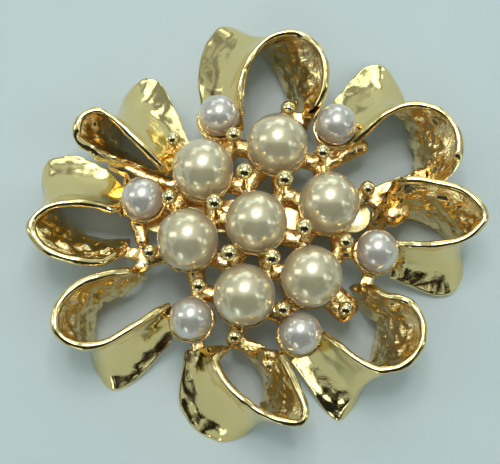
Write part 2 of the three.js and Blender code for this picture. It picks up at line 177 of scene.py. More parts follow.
# Electroplated gold over cast pot metal, tumbled: a warm mirror with faint clouds and fine pits
def goldPlate(name, faceHex, roughness, pitDepth):
    material = bpy.data.materials.new(name)
    material.use_nodes = True
    tree = material.node_tree
    shader = tree.nodes["Principled BSDF"]
    shader.inputs["Metallic"].default_value = 1.0
    spot = addNode(tree, "ShaderNodeTexCoord").outputs["Object"]
    cloud = addNode(tree, "ShaderNodeTexNoise", inputs={
        "Vector": spot, "Scale": goldFinish["cloudTurns"] / goldFinish["scratchSize"], "Detail": 3.0})
    pits = addNode(tree, "ShaderNodeTexNoise", inputs={
        "Vector": spot, "Scale": 1 / goldFinish["pitSize"], "Detail": 2.0})
    tint = addNode(tree, "ShaderNodeMix", {"data_type": "RGBA"}, {
        0: cloud.outputs["Fac"], 6: colour(goldFinish["castHex"]), 7: colour(faceHex)})
    gloss = addNode(tree, "ShaderNodeMapRange", inputs={
        "Value": cloud.outputs["Fac"],
        "From Min": goldFinish["cloudLow"], "From Max": goldFinish["cloudHigh"],
        "To Min": roughness * goldFinish["plateGloss"][0],
        "To Max": roughness * goldFinish["plateGloss"][1]})
    bump = addNode(tree, "ShaderNodeBump", inputs={
        "Height": pits.outputs["Fac"], "Distance": pitDepth, "Strength": 1.0})
    tree.links.new(tint.outputs[2], shader.inputs["Base Color"])
    tree.links.new(gloss.outputs["Result"], shader.inputs["Roughness"])
    tree.links.new(bump.outputs["Normal"], shader.inputs["Normal"])
    return material


# The same plate on the ribbons: mirror-bright outside, and inside a smooth band under the rim painted a
# deeper amber as the hollow's shade and gold-on-gold reflection, with the crumpled skin of the casting
# below it
def ribbonGold():
    material = bpy.data.materials.new("platedRibbonCasting")
    material.use_nodes = True
    tree = material.node_tree
    shader = tree.nodes["Principled BSDF"]
    shader.inputs["Metallic"].default_value = 1.0
    spot = addNode(tree, "ShaderNodeTexCoord").outputs["Object"]
    inside = addNode(tree, "ShaderNodeAttribute", {"attribute_name": "inside"}).outputs["Fac"]
    depth = addNode(tree, "ShaderNodeAttribute", {"attribute_name": "depth"}).outputs["Fac"]
    cloud = addNode(tree, "ShaderNodeTexNoise", inputs={
        "Vector": spot, "Scale": goldFinish["cloudTurns"] / goldFinish["scratchSize"], "Detail": 3.0})
    pits = addNode(tree, "ShaderNodeTexNoise", inputs={
        "Vector": spot, "Scale": 1 / goldFinish["pitSize"], "Detail": 3.0})
    # painted shade: the inside under the rim gets the deeper amber, fading into the cast colour lower
    # down
    under = addNode(tree, "ShaderNodeMapRange", {"interpolation_type": "SMOOTHSTEP"}, {
        "Value": depth, "From Min": goldFinish["paintedShadeFrom"], "From Max": goldFinish["paintedShadeTo"]})
    insideWithPaintedShade = addNode(tree, "ShaderNodeMix", {"data_type": "RGBA"}, {
        0: under.outputs["Result"], 6: colour(goldFinish["hollowPaintedShadeHex"]),
        7: colour(goldFinish["castHex"])})
    outside = addNode(tree, "ShaderNodeMix", {"data_type": "RGBA"}, {
        0: cloud.outputs["Fac"], 6: colour(goldFinish["faceWornHex"]), 7: colour(goldFinish["faceHex"])})
    belowRim = addNode(tree, "ShaderNodeMapRange", {"interpolation_type": "SMOOTHSTEP"}, {
        "Value": depth, "From Min": goldFinish["lipFrom"], "From Max": goldFinish["lipTo"]})
    cast = addNode(tree, "ShaderNodeMath", {"operation": "MULTIPLY"}, {
        0: inside, 1: belowRim.outputs["Result"]}).outputs["Value"]
    tint = addNode(tree, "ShaderNodeMix", {"data_type": "RGBA"}, {
        0: cast, 6: outside.outputs[2], 7: insideWithPaintedShade.outputs[2]})
    rough = addNode(tree, "ShaderNodeMapRange", inputs={
        "Value": cast, "To Min": goldFinish["faceRoughness"],
        "To Max": goldFinish["castRoughness"]})
    gloss = addNode(tree, "ShaderNodeMath", {"operation": "MULTIPLY"}, {
        0: rough.outputs["Result"], 1: addNode(tree, "ShaderNodeMapRange", inputs={
            "Value": cloud.outputs["Fac"],
            "From Min": goldFinish["cloudLow"], "From Max": goldFinish["cloudHigh"],
            "To Min": goldFinish["ribbonGloss"][0],
            "To Max": goldFinish["ribbonGloss"][1]}).outputs["Result"]})
    relief = addNode(tree, "ShaderNodeMath", {"operation": "MULTIPLY_ADD"}, {
        0: cast, 1: goldFinish["pitDepth"], 2: goldFinish["scratchDepth"]})
    height = addNode(tree, "ShaderNodeMath", {"operation": "MULTIPLY"}, {
        0: pits.outputs["Fac"], 1: relief.outputs["Value"]})
    bump = addNode(tree, "ShaderNodeBump", inputs={
        "Height": height.outputs["Value"], "Distance": 1.0, "Strength": 1.0})
    tree.links.new(tint.outputs[2], shader.inputs["Base Color"])
    tree.links.new(gloss.outputs["Value"], shader.inputs["Roughness"])
    tree.links.new(bump.outputs["Normal"], shader.inputs["Normal"])
    return material


pearlFinish = {
    "creamHex": "#e4d7b4",
    "creamShadeHex": "#d5c499",
    "silverHex": "#dfd8cb",
    "silverShadeHex": "#cdc3b6",
    "metallic": 0.6,
    "roughness": 0.25,
    "coatRoughness": 0.07,
    "lacquerIor": 1.6,
    "sheen": 0.2, "sheenRoughness": 0.4,
    "glow": 0.15, "glowDepth": 1.0 * mm,
    "cloudSize": 3.0 * mm,
    "dimpleSize": 0.8 * mm,
    "dimpleDepth": 0.01 * mm,
}


# Fish-scale lacquer dipped over a glass bead: a blurred silvery sheen under a clear gloss
def pearlLacquer(name, baseHex, shadeHex):
    material = bpy.data.materials.new(name)
    material.use_nodes = True
    tree = material.node_tree
    shader = tree.nodes["Principled BSDF"]
    spot = addNode(tree, "ShaderNodeTexCoord").outputs["Object"]
    cloud = addNode(tree, "ShaderNodeTexNoise", inputs={
        "Vector": spot, "Scale": 1 / pearlFinish["cloudSize"], "Detail": 2.0})
    dimples = addNode(tree, "ShaderNodeTexNoise", inputs={
        "Vector": spot, "Scale": 1 / pearlFinish["dimpleSize"], "Detail": 1.0})
    tint = addNode(tree, "ShaderNodeMix", {"data_type": "RGBA"}, {
        0: cloud.outputs["Fac"], 6: colour(shadeHex), 7: colour(baseHex)})
    bump = addNode(tree, "ShaderNodeBump", inputs={
        "Height": dimples.outputs["Fac"], "Distance": pearlFinish["dimpleDepth"]})
    for socket, value in {"Metallic": pearlFinish["metallic"], "Roughness": pearlFinish["roughness"],
                          "IOR": pearlFinish["lacquerIor"], "Coat Weight": 1.0,
                          "Coat Roughness": pearlFinish["coatRoughness"],
                          "Coat IOR": pearlFinish["lacquerIor"],
                          "Sheen Weight": pearlFinish["sheen"],
                          "Sheen Roughness": pearlFinish["sheenRoughness"],
                          "Subsurface Weight": pearlFinish["glow"],
                          "Subsurface Scale": pearlFinish["glowDepth"]}.items():
        shader.inputs[socket].default_value = value
    tree.links.new(tint.outputs[2], shader.inputs["Base Color"])
    tree.links.new(bump.outputs["Normal"], shader.inputs["Normal"])
    return material


ribbonMaterial = ribbonGold()
# Left as cast before plating, so rougher, with soft, broken highlights; its deep amber gold is painted
# shade and painted gold-on-gold reflection of the recess between the pearls
castMaterial = goldPlate("platedCastOpenwork", goldFinish["framePaintedShadeHex"], goldFinish["frameRoughness"],
                         goldFinish["pitDepth"])
# Tumbled bright: each ball is a small mirror of the room
beadMaterial = goldPlate("platedBallPosts", goldFinish["faceHex"], goldFinish["beadRoughness"],
                         goldFinish["scratchDepth"])
# Drawn and stamped brass under a thin plate: even, and a little dull
pinMaterial = goldPlate("platedPinBrass", goldFinish["pinHex"], goldFinish["pinRoughness"],
                        goldFinish["scratchDepth"])
creamMaterial = pearlLacquer("creamPearlLacquer", pearlFinish["creamHex"],
                             pearlFinish["creamShadeHex"])
silverMaterial = pearlLacquer("silverPearlLacquer", pearlFinish["silverHex"],
                              pearlFinish["silverShadeHex"])
print("finishes ready")


pearls = {"sides": 64, "rows": 32, "hole": 0.65 * mm, "holeDepth": 2.2 * mm}
beads = {"sides": 32, "rows": 16, "post": 0.4 * mm, "fillet": 0.35 * mm, "filletRise": 1.5,
         "filletSteps": 6, "dent": 0.03 * mm, "dentSize": 1.5 * mm}


def turned(name, profile, sides):  # spun round Z; the profile starts and ends on the axis
    ring = [(math.cos(a), math.sin(a)) for a in np.linspace(0, 2 * math.pi, sides, endpoint=False)]
    points = [(0, 0, profile[0][1])]
    for radius, height in profile[1:-1]:
        points += [(radius * c, radius * s, height) for c, s in ring]
    points.append((0, 0, profile[-1][1]))
    faces, last = [], len(points) - 1
    for k in range(sides):
        after = (k + 1) % sides
        faces.append((0, 1 + after, 1 + k))
        for row in range(len(profile) - 3):
            low, high = 1 + row * sides, 1 + (row + 1) * sides
            faces.append((low + k, low + after, high + after, high + k))
        top = 1 + (len(profile) - 3) * sides
        faces.append((top + k, top + after, last))
    return meshFrom(name, points, faces)


def pearlMesh(radius):  # half drilled from below
    mouth = math.asin(pearls["hole"] / radius)
    profile = [(0, pearls["holeDepth"] - radius), (pearls["hole"], pearls["holeDepth"] - radius)]
    for angle in np.linspace(mouth, math.pi, pearls["rows"]):
        profile.append((radius * math.sin(angle), -radius * math.cos(angle)))
    return turned("pearlShape", profile, pearls["sides"])


def beadMesh(radius, drop):  # a ball on a post that flares where it is soldered
    post, fillet = beads["post"], beads["fillet"]
    profile = [(0, -drop)]
    for share in np.linspace(0, 1, beads["filletSteps"]):
        profile.append((post + fillet * (1 - share) ** 2, -drop + fillet * share * beads["filletRise"]))
    neck = math.asin(post / radius)
    for angle in np.linspace(neck, math.pi, beads["rows"]):
        profile.append((radius * math.sin(angle), -radius * math.cos(angle)))
    return turned("beadShape", profile, beads["sides"])


def seatTree():  # stands a copy of one shape on each seat, then knocks the surface a little uneven
    tree = bpy.data.node_groups.new("standOnSeats", "GeometryNodeTree")
    face = tree.interface
    face.new_socket("Seats", in_out="INPUT", socket_type="NodeSocketGeometry")
    face.new_socket("Shape", in_out="INPUT", socket_type="NodeSocketObject")
    face.new_socket("Dent", in_out="INPUT", socket_type="NodeSocketFloat")
    face.new_socket("Dent Size", in_out="INPUT", socket_type="NodeSocketFloat")
    face.new_socket("Seed", in_out="INPUT", socket_type="NodeSocketInt")
    face.new_socket("Material", in_out="INPUT", socket_type="NodeSocketMaterial")
    face.new_socket("Pieces", in_out="OUTPUT", socket_type="NodeSocketGeometry")
    given = addNode(tree, "NodeGroupInput").outputs
    shape = addNode(tree, "GeometryNodeObjectInfo", inputs={"Object": given["Shape"]})
    spin = addNode(tree, "FunctionNodeRandomValue", {"data_type": "FLOAT"}, {
        2: 0.0, 3: 2 * math.pi, "Seed": given["Seed"]})
    turn = addNode(tree, "ShaderNodeCombineXYZ", inputs={"Z": spin.outputs[1]})
    copies = addNode(tree, "GeometryNodeInstanceOnPoints", inputs={
        "Points": given["Seats"], "Instance": shape.outputs["Geometry"],
        "Rotation": turn.outputs["Vector"]})
    real = addNode(tree, "GeometryNodeRealizeInstances", inputs={
        "Geometry": copies.outputs["Instances"]})
    fine = addNode(tree, "ShaderNodeMath", {"operation": "DIVIDE"}, {0: 1.0, 1: given["Dent Size"]})
    noise = addNode(tree, "ShaderNodeTexNoise", {"noise_dimensions": "4D"}, {
        "W": given["Seed"], "Scale": fine.outputs["Value"], "Detail": 1.0})
    even = addNode(tree, "ShaderNodeMath", {"operation": "SUBTRACT"}, {0: noise.outputs[0], 1: 0.5})
    dent = addNode(tree, "ShaderNodeMath", {"operation": "MULTIPLY"}, {
        0: even.outputs["Value"], 1: given["Dent"]})
    push = addNode(tree, "ShaderNodeVectorMath", {"operation": "SCALE"}, {
        0: addNode(tree, "GeometryNodeInputNormal").outputs["Normal"],
        "Scale": dent.outputs["Value"]})
    moved = addNode(tree, "GeometryNodeSetPosition", inputs={
        "Geometry": real.outputs["Geometry"], "Offset": push.outputs["Vector"]})
    done = addNode(tree, "GeometryNodeSetMaterial", inputs={
        "Geometry": moved.outputs["Geometry"], "Material": given["Material"]})
    addNode(tree, "NodeGroupOutput", inputs={"Pieces": done.outputs["Geometry"]})
    return tree


seatNodes = seatTree()


def stand(name, nodes, mesh, material, slot, seed, dent=0.0):
    seats = smoothObject(name, meshFrom(name, [ballOf(node)[0] for node in nodes], []))
    shape = smoothObject(name + "Shape", mesh)
    modifier = seats.modifiers.new("standOnSeats", "NODES")
    modifier.node_group = seatNodes
    setInputs(modifier, seatNodes, {"Shape": shape, "Dent": dent, "Dent Size": beads["dentSize"],
                                    "Seed": seed, "Material": material})
    done = baked(seats, name)
    bpy.data.objects.remove(shape)
    place(done, "brooch", slot, *nodes)


largeNodes = ["centre_pearl", *nodesNamed("ring_pearl")]
smallNodes = nodesNamed("edge_pearl")
for name, nodes, material, slot, seed in (
        ("largePearls", largeNodes, creamMaterial, "large_pearl", 3),
        ("smallPearls", smallNodes, silverMaterial, "small_pearl", 4)):
    stand(name, nodes, pearlMesh(ballOf(nodes[0])[1]), material, slot, seed)
for seed, group in enumerate(("crown_bead", "pocket_bead", "rim_bead")):
    nodes = nodesNamed(group)
    middle, radius = ballOf(nodes[0])
    drop = middle.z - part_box(nodes[0])[0].z
    stand(group.replace("_bead", "Beads"), nodes, beadMesh(radius, drop), beadMaterial,
          "bead_gold", seed, beads["dent"])
print("pearls and beads stand on their seats")


ribbon = {
    "frameRadius": 12.16, "wall": 0.75, "rimHeight": 9.0, "rimDrop": 2.0, "footRise": 3.0,
    "riseStart": 0.4, "pinch": 1.0, "groundDepth": 0.25,
    "rimLip": 0.13, "baseLip": 0.05, "lipReach": 0.45,
    "steps": 250, "across": 40, "capSteps": 8, "domeSteps": 3, "domeDepth": 0.35,
    "pearlGap": 0.05 * mm, "roomSides": 48, "roomRows": 24, "tip": 0.02,
    "groundSize": 100 * mm, "groundThick": 10 * mm,
    "endPhases": (110, 75, 40, 0, -40, -75, -110),  # degrees round the elliptical end
    "dropPower": 4, "risePower": 1.5,
    "firstSeed": 10,
}

# Rim and base are hairpins: (out, side, long, wide, turn) of the elliptical end, then two feet.
# Out is counted from the ring pearls' outer edge along the bearing, and side to its left, in mm.
loopShapes = {
    "north": (84, (5.0, -1.6, 6.5, 5.1, -18, (-0.2, 2.8), (1.3, -5.4)),
              (2.3, 2.1, 13.1, 5.7, 23, (1.4, 8.2), (2.6, -3.4))),
    "north_east": (42, (7.9, -5.5, 5.4, 5.1, -21, (2.4, -0.1), (3.9, -7.8)),
                   (6.1, -3.4, 4.0, 12.7, -36, (6.2, 6.2), (7.6, -7.1))),
    "east": (354, (6.2, 3.5, 7.9, 4.0, 2, (2.2, 4.1), (4.6, 0.1)),
             (7.1, -0.2, 4.7, 6.2, 59, (4.3, 4.2), (3.9, -3.6))),
    "south_east": (315, (6.7, 1.7, 4.7, 4.6, 22, (2.6, 5.0), (1.8, -3.4)),
                   (6.9, -2.6, 1.9, 7.0, 23, (0.1, 3.8), (1.2, -7.9))),
    "south": (266, (6.2, 1.9, 2.5, 6.4, -33, (2.0, 4.4), (1.7, -2.2)),
              (6.0, -2.6, 6.2, 5.3, 0, (1.4, -0.3), (2.2, -7.5))),
    "south_west": (213, (7.9, -1.5, 5.8, 4.0, -5, (0.8, 2.2), (2.4, -3.9)),
                   (8.6, 1.3, 2.8, 5.9, -27, (3.0, 5.5), (1.3, -3.2))),
    "west": (178, (7.2, 1.8, 6.6, 3.7, -3, (3.7, 4.4), (3.7, -1.1)),
             (7.6, -3.8, 8.0, 4.2, -42, (2.6, 1.6), (3.8, -6.5))),
    "north_west": (145, (9.7, 1.6, 2.4, 2.5, 3, (8.0, 4.2), (-0.1, 0.6)),
                   (7.4, -3.6, 3.2, 6.5, 26, (0.6, 0.4), (0.7, -4.8))),
}
# Each loop after the first is fitted against the ones that it meets
fittedAgainst = {
    "east": [], "north_east": ["east"], "south_east": ["east"], "south": ["south_east"],
    "south_west": ["south"], "west": ["south_west"], "north_west": ["west"],
    "north": ["north_east", "north_west"],
}
hub = ballOf("centre_pearl")[0] / mm


def hairpin(bearing, edge):
    out, side, long, wide, turn, firstFoot, lastFoot = edge
    turn, bearing = math.radians(turn), math.radians(bearing)
    plan = [firstFoot]
    for phase in ribbon["endPhases"]:
        a, b = long * math.cos(math.radians(phase)), wide * math.sin(math.radians(phase))
        plan.append((out + a * math.cos(turn) - b * math.sin(turn),
                     side + a * math.sin(turn) + b * math.cos(turn)))
    plan.append(lastFoot)
    away = np.array([math.cos(bearing), math.sin(bearing)])
    left = np.array([-away[1], away[0]])
    spots = [hub.xy + Vector((ribbon["frameRadius"] + o) * away + s * left) for o, s in plan]
    return evenly(throughSpots([np.array(spot) for spot in spots]), ribbon["steps"] + 1)


def throughSpots(spots, fine=40):  # centripetal Catmull-Rom
    ends = [2 * spots[0] - spots[1], *spots, 2 * spots[-1] - spots[-2]]
    line = []
    share = np.linspace(0, 1, fine, endpoint=False)[:, None]
    for a, b, c, d in zip(ends, ends[1:], ends[2:], ends[3:]):
        ab, bc, cd = (math.sqrt(np.linalg.norm(q - p)) for p, q in ((a, b), (b, c), (c, d)))
        leave = ((b - a) / ab - (c - a) / (ab + bc) + (c - b) / bc) * bc
        arrive = ((c - b) / bc - (d - b) / (bc + cd) + (d - c) / cd) * bc
        line.append(b + leave * share + (3 * (c - b) - 2 * leave - arrive) * share ** 2
                    + (2 * (b - c) + leave + arrive) * share ** 3)
    return np.concatenate([*line, spots[-1][None]])


def evenly(line, count):
    run = np.concatenate([[0], np.cumsum(np.linalg.norm(np.diff(line, axis=0), axis=1))])
    stops = np.linspace(0, run[-1], count)
    return np.stack([np.interp(stops, run, line[:, k]) for k in (0, 1)], axis=1)


def unit(vectors):
    return vectors / np.linalg.norm(vectors, axis=-1, keepdims=True)


# Once round the ribbon: share of its height, mm along the fall, mm inward, and how far inside
def ribbonSection():
    wall, rim, base = ribbon["wall"], ribbon["rimLip"], ribbon["baseLip"]
    rimRadius, baseRadius = wall / 2 + rim, wall / 2 + base
    section = []
    for share in np.linspace(0, 1, ribbon["across"]):
        section.append((share, rimRadius * (1 - share) - baseRadius * share, 0.0, 0.0))
    for angle in np.linspace(0, math.pi, ribbon["capSteps"] + 2)[1:-1]:
        turn = angle - math.pi / 2
        section.append((1.0, baseRadius * (math.cos(turn) - 1),
                        wall / 2 + baseRadius * math.sin(turn), angle / math.pi))
    for share in np.linspace(1, 0, ribbon["across"]):
        section.append((share, rimRadius * (1 - share) - baseRadius * share, wall, 1.0))
    for angle in np.linspace(0, math.pi, ribbon["capSteps"] + 2)[1:-1]:
        turn = math.pi / 2 - angle
        section.append((0.0, rimRadius * (1 - math.cos(turn)),
                        wall / 2 + rimRadius * math.sin(turn), 1 - angle / math.pi))
    return np.array(section)


def ribbonSkin(name):
    bearing, rimEdge, baseEdge = loopShapes[name]
    along = np.linspace(0, 1, ribbon["steps"] + 1)
    toFoot = np.abs(2 * along - 1)
    rimZ = ribbon["rimHeight"] - ribbon["rimDrop"] * toFoot ** ribbon["dropPower"]
    risen = np.maximum(0, (toFoot - ribbon["riseStart"]) / (1 - ribbon["riseStart"]))
    baseZ = ribbon["footRise"] * risen ** ribbon["risePower"] - ribbon["groundDepth"]
    rimPlan, basePlan = hairpin(bearing, rimEdge), hairpin(bearing, baseEdge)
    top = np.column_stack([rimPlan, rimZ])
    bottom = np.column_stack([basePlan, baseZ])
    run = unit(unit(np.gradient(rimPlan, axis=0)) + unit(np.gradient(basePlan, axis=0)))
    run = np.column_stack([run, np.zeros(len(run))])
    fall = unit(bottom - top)
    inward = unit(np.cross(fall, run))
    share, slide, offset, inside = ribbonSection().T
    tall = np.linalg.norm(bottom - top, axis=1)[:, None]
    fromRim = share * tall + slide  # mm down the face from the rim line
    toBase = tall - fromRim
    swell = (ribbon["rimLip"] * np.exp(-(np.maximum(fromRim, 0) / ribbon["lipReach"]) ** 2)
             + ribbon["baseLip"] * np.exp(-(np.maximum(toBase, 0) / ribbon["lipReach"]) ** 2))
    isFace = (offset == 0).astype(float) * -1 + (offset == ribbon["wall"]).astype(float)
    waist = 1 - toFoot[:, None] ** ribbon["dropPower"]
    drawn = ribbon["pinch"] * 4 * share * (1 - share) * waist  # the whole pinch at half height
    deep = offset + drawn + swell * isFace
    skin = top[:, None] + fall[:, None] * fromRim[..., None] + inward[:, None] * deep[..., None]
    for row, way in ((0, -1), (-1, 1)):  # a shallow dome closes each foot
        heart = skin[row].mean(axis=0)
        domes = []
        for step in range(1, ribbon["domeSteps"] + 1):
            angle = step / (ribbon["domeSteps"] + 1) * math.pi / 2
            domes.append(heart + (skin[row] - heart) * math.cos(angle)
                         + way * run[row] * ribbon["domeDepth"] * math.sin(angle))
        skin = np.concatenate([np.array(domes[::-1]), skin] if way < 0 else [skin, np.array(domes)])
    tips = [skin[0].mean(axis=0) - run[0] * ribbon["tip"],
            skin[-1].mean(axis=0) + run[-1] * ribbon["tip"]]
    rows, count = skin.shape[:2]
    grid = np.arange(rows * count).reshape(rows, count)
    faces = [(grid[r, c], grid[r, (c + 1) % count], grid[r + 1, (c + 1) % count], grid[r + 1, c])
             for r in range(rows - 1) for c in range(count)]
    faces += [(grid[0, (c + 1) % count], grid[0, c], rows * count) for c in range(count)]
    faces += [(grid[-1, c], grid[-1, (c + 1) % count], rows * count + 1) for c in range(count)]
    points = np.concatenate([skin.reshape(-1, 3), tips])
    mesh = meshFrom(name, points * mm, faces)
    fullInside = np.concatenate([np.tile(inside, rows), [0.5, 0.5]])
    depthRow = np.clip(fromRim / tall, 0, 1)
    depthRow = np.concatenate([np.repeat(depthRow[:1], ribbon["domeSteps"], 0), depthRow,
                               np.repeat(depthRow[-1:], ribbon["domeSteps"], 0)])
    fullDepth = np.concatenate([depthRow.ravel(), [0.5, 0.5]])
    for label, values in (("inside", fullInside), ("depth", fullDepth)):
        mesh.attributes.new(label, "FLOAT", "POINT").data.foreach_set("value", values)
    form = bmesh.new()
    form.from_mesh(mesh)
    bmesh.ops.recalc_face_normals(form, faces=form.faces)
    form.to_mesh(mesh)
    form.free()
    return mesh


castTexture = {  # how far each size of unevenness moves the surface
    "Wave": 0.5 * mm, "Wave Size": 3.2 * mm,
    "Crumple": 1.5 * mm, "Crumple Size": 1.6 * mm,
    "Grain": 0.42 * mm, "Grain Size": 0.55 * mm,
}
castZone = {  # shares of the ribbon's height, from the rim
    "roughFrom": 0.1, "roughTo": 0.28,
    "calmFrom": 0.9, "calmTo": 1.0, "calm": 0.2,  # what is left of the crumple at the lower edge
}


def castTree():  # slow waves all over, and inside a rough crumpled skin from just under the rim
    tree = bpy.data.node_groups.new("castSkin", "GeometryNodeTree")
    face = tree.interface
    face.new_socket("Skin", in_out="INPUT", socket_type="NodeSocketGeometry")
    for name in castTexture:
        face.new_socket(name, in_out="INPUT", socket_type="NodeSocketFloat")
    face.new_socket("Seed", in_out="INPUT", socket_type="NodeSocketFloat")
    face.new_socket("Material", in_out="INPUT", socket_type="NodeSocketMaterial")
    face.new_socket("Casting", in_out="OUTPUT", socket_type="NodeSocketGeometry")
    given = addNode(tree, "NodeGroupInput").outputs
    inside = addNode(tree, "GeometryNodeInputNamedAttribute", {"data_type": "FLOAT"},
                     {"Name": "inside"}).outputs[0]
    depth = addNode(tree, "GeometryNodeInputNamedAttribute", {"data_type": "FLOAT"},
                    {"Name": "depth"}).outputs[0]
    low = addNode(tree, "ShaderNodeMapRange", {"interpolation_type": "SMOOTHSTEP"}, {
        "Value": depth, "From Min": castZone["roughFrom"],
        "From Max": castZone["roughTo"]}).outputs["Result"]
    edge = addNode(tree, "ShaderNodeMapRange", {"interpolation_type": "SMOOTHSTEP"}, {
        "Value": depth, "From Min": castZone["calmFrom"], "From Max": castZone["calmTo"],
        "To Min": 1.0, "To Max": castZone["calm"]}).outputs["Result"]
    rough = inside
    for mask in (low, edge):
        rough = addNode(tree, "ShaderNodeMath", {"operation": "MULTIPLY"},
                        {0: rough, 1: mask}).outputs["Value"]
    total = None
    for name, mask, detail in (("Wave", None, 1.0), ("Crumple", rough, 2.0), ("Grain", rough, 3.0)):
        fine = addNode(tree, "ShaderNodeMath", {"operation": "DIVIDE"}, {
            0: 1.0, 1: given[name + " Size"]}).outputs["Value"]
        noise = addNode(tree, "ShaderNodeTexNoise", {"noise_dimensions": "4D"}, {
            "W": given["Seed"], "Scale": fine, "Detail": detail}).outputs[0]
        even = addNode(tree, "ShaderNodeMath", {"operation": "SUBTRACT"}, {0: noise, 1: 0.5})
        push = addNode(tree, "ShaderNodeMath", {"operation": "MULTIPLY"}, {
            0: even.outputs["Value"], 1: given[name]}).outputs["Value"]
        if mask:
            push = addNode(tree, "ShaderNodeMath", {"operation": "MULTIPLY"},
                           {0: push, 1: mask}).outputs["Value"]
        total = push if total is None else addNode(
            tree, "ShaderNodeMath", {"operation": "ADD"}, {0: total, 1: push}).outputs["Value"]
    shift = addNode(tree, "ShaderNodeVectorMath", {"operation": "SCALE"}, {
        0: addNode(tree, "GeometryNodeInputNormal").outputs["Normal"], "Scale": total})
    moved = addNode(tree, "GeometryNodeSetPosition", inputs={
        "Geometry": given["Skin"], "Offset": shift.outputs["Vector"]})
    real = addNode(tree, "GeometryNodeRealizeInstances", inputs={
        "Geometry": moved.outputs["Geometry"]})
    done = addNode(tree, "GeometryNodeSetMaterial", inputs={
        "Geometry": real.outputs["Geometry"], "Material": given["Material"]})
    addNode(tree, "NodeGroupOutput", inputs={"Casting": done.outputs["Geometry"]})
    return tree


castNodes = castTree()


def cast(obj, name, seed, material, **changed):
    modifier = obj.modifiers.new("castSkin", "NODES")
    modifier.node_group = castNodes
    setInputs(modifier, castNodes, {**castTexture, **changed, "Seed": float(seed),
                                    "Material": material})
    return baked(obj, name)


def cutBy(obj, tool):
    modifier = obj.modifiers.new("fit", "BOOLEAN")
    modifier.operation, modifier.solver, modifier.object = "DIFFERENCE", "MANIFOLD", tool


def pearlRoom():  # balls just larger than the pearls and beads, each made alone, which is quicker
    whole = bmesh.new()
    for node in [*largeNodes, *smallNodes, *nodesNamed("crown_bead"), *nodesNamed("pocket_bead"),
                 *nodesNamed("rim_bead")]:
        middle, radius = ballOf(node)
        ball = bmesh.new()
        bmesh.ops.create_uvsphere(ball, u_segments=ribbon["roomSides"], v_segments=ribbon["roomRows"],
                                  radius=radius + ribbon["pearlGap"])
        bmesh.ops.translate(ball, verts=ball.verts, vec=middle)
        mesh = bpy.data.meshes.new("ball")
        ball.to_mesh(mesh)
        ball.free()
        whole.from_mesh(mesh)
    return fromForm(whole, "pearlRoom")


def blockTool(name, size, middle):  # a block to cut with
    form = bmesh.new()
    bmesh.ops.create_cube(form, size=1.0)
    bmesh.ops.scale(form, verts=form.verts, vec=size)
    bmesh.ops.translate(form, verts=form.verts, vec=middle)
    return fromForm(form, name)


room = pearlRoom()
ground = blockTool("ground", (ribbon["groundSize"], ribbon["groundSize"], ribbon["groundThick"]),
                   (0, 0, -ribbon["groundThick"] / 2))
uncut = {}
for seed, name in enumerate(loopShapes, ribbon["firstSeed"]):
    skin = smoothObject("skin", ribbonSkin(name))
    uncut[name] = cast(skin, "uncut_" + name, seed, ribbonMaterial)
for name, others in fittedAgainst.items():
    loop = smoothObject("fit", uncut[name].data.copy())
    for tool in [room, ground, *(uncut[other] for other in others)]:
        cutBy(loop, tool)
    loop = baked(loop, "ribbonLoop_" + name)
    largestIsland(loop.data)
    place(loop, "brooch", "ribbon_gold", "ribbon_loop_" + name)
    print("ribbon loop", name, len(loop.data.polygons))
for tool in uncut.values():
    bpy.data.objects.remove(tool)


openwork = {
    "voxel": 0.17 * mm, "swell": 0.14 * mm, "smooth": 5, "merge": 0.001 * mm, "seed": 31,
    "Wave": 0.1 * mm, "Crumple": 0.45 * mm, "Grain": 0.16 * mm,
    "webZ": 4.5 * mm, "webRadius": 1.0 * mm, "webReach": 0.45, "webFlat": 0.62, "lumpFlat": 0.75,
    "ballStep": 0.4,  # of a ball's radius
    "websPerPost": 3, "castDepth": 0.7,
    # Lumps of solder and flash, in mm: plan of one end, plan of the other, radius, height
    "lumps": [
        ((-16.8, 6.7), (-13.2, 4.9), 0.85, 4.5), ((-13.2, 4.9), (-9.7, 4.1), 0.75, 4.5),
        ((-14.2, -0.1), (-13.5, -2.6), 0.7, 4.6), ((7.8, 6.5), (12.1, 8.8), 0.9, 4.3),
        ((15.6, 0.3), (16.5, 0.9), 1.3, 4.9), ((10.4, -10.4), (8.6, -8.6), 1.1, 4.4),
    ],
}


def ballPoints(rows=7, sides=12):
    points = [(0, 0, -1)]
    for low in np.linspace(-90, 90, rows + 2)[1:-1]:
        points += [(math.cos(math.radians(low)) * x, math.cos(math.radians(low)) * y,
                    math.sin(math.radians(low))) for x, y in circle((0, 0), 1, sides)]
    points.append((0, 0, 1))
    last = len(points) - 1
    faces = []
    for k in range(sides):
        after = (k + 1) % sides
        faces.append((0, 1 + after, 1 + k))
        faces += [(1 + r * sides + k, 1 + r * sides + after, 1 + (r + 1) * sides + after,
                   1 + (r + 1) * sides + k) for r in range(rows - 1)]
        faces.append((1 + (rows - 1) * sides + k, 1 + (rows - 1) * sides + after, last))
    return np.array(points), faces


def ballRun(start, end, radius, flat):  # middles of a run of overlapping balls, squashed by flat
    count = max(2, int((end - start).length / (openwork["ballStep"] * radius)) + 1)
    return [(start.lerp(end, float(share)), radius, flat) for share in np.linspace(0, 1, count)]


